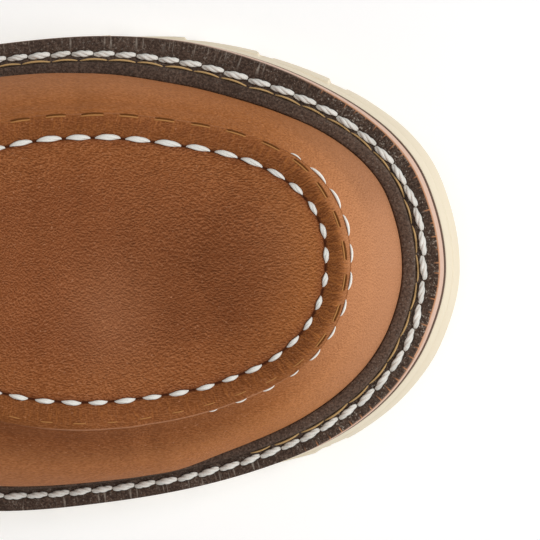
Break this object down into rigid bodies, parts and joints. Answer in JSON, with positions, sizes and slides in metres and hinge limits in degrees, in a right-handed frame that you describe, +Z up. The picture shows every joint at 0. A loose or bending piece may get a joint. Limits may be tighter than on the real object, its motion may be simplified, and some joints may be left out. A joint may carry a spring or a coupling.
{
  "type": "moc toe work boot",
  "caption": "Right lace-up ankle work boot with a hollow leather upper, raised moc toe seam, stitched storm welt and cream wedge outsole; stands empty on its sole.",
  "frame": {"origin": "on the floor under the middle of the boot's box", "axes": "+X from heel to toe, +Y to the inner (medial) side, +Z up"},
  "size_m": [0.303, 0.1156, 0.1953],
  "materials": {
    "cream_rubber": "matt cream moulded rubber",
    "dark_midsole": "matt dark brown sheet",
    "welt_leather": "dark brown waxed leather with a natural cut edge",
    "upper_leather": "oiled brown full grain leather, soft sheen",
    "insole_leather": "plain tan leather footbed",
    "eyelet_brass": "aged brass",
    "lace_cord": "braided brown cord"
  },
  "bodies": {
    "root": {"outsole": "cream_rubber", "midsole": "dark_midsole", "welt": "welt_leather", "insole": "insole_leather", "upper": "upper_leather", "tongue": "upper_leather", "lace": "lace_cord", "eyelet_m1": "eyelet_brass", "eyelet_m2": "eyelet_brass", "eyelet_m3": "eyelet_brass", "eyelet_m4": "eyelet_brass", "eyelet_m5": "eyelet_brass", "eyelet_m6": "eyelet_brass", "eyelet_m7": "eyelet_brass", "eyelet_l1": "eyelet_brass", "eyelet_l2": "eyelet_brass", "eyelet_l3": "eyelet_brass", "eyelet_l4": "eyelet_brass", "eyelet_l5": "eyelet_brass", "eyelet_l6": "eyelet_brass", "eyelet_l7": "eyelet_brass"}
  },
  "joints": []
}
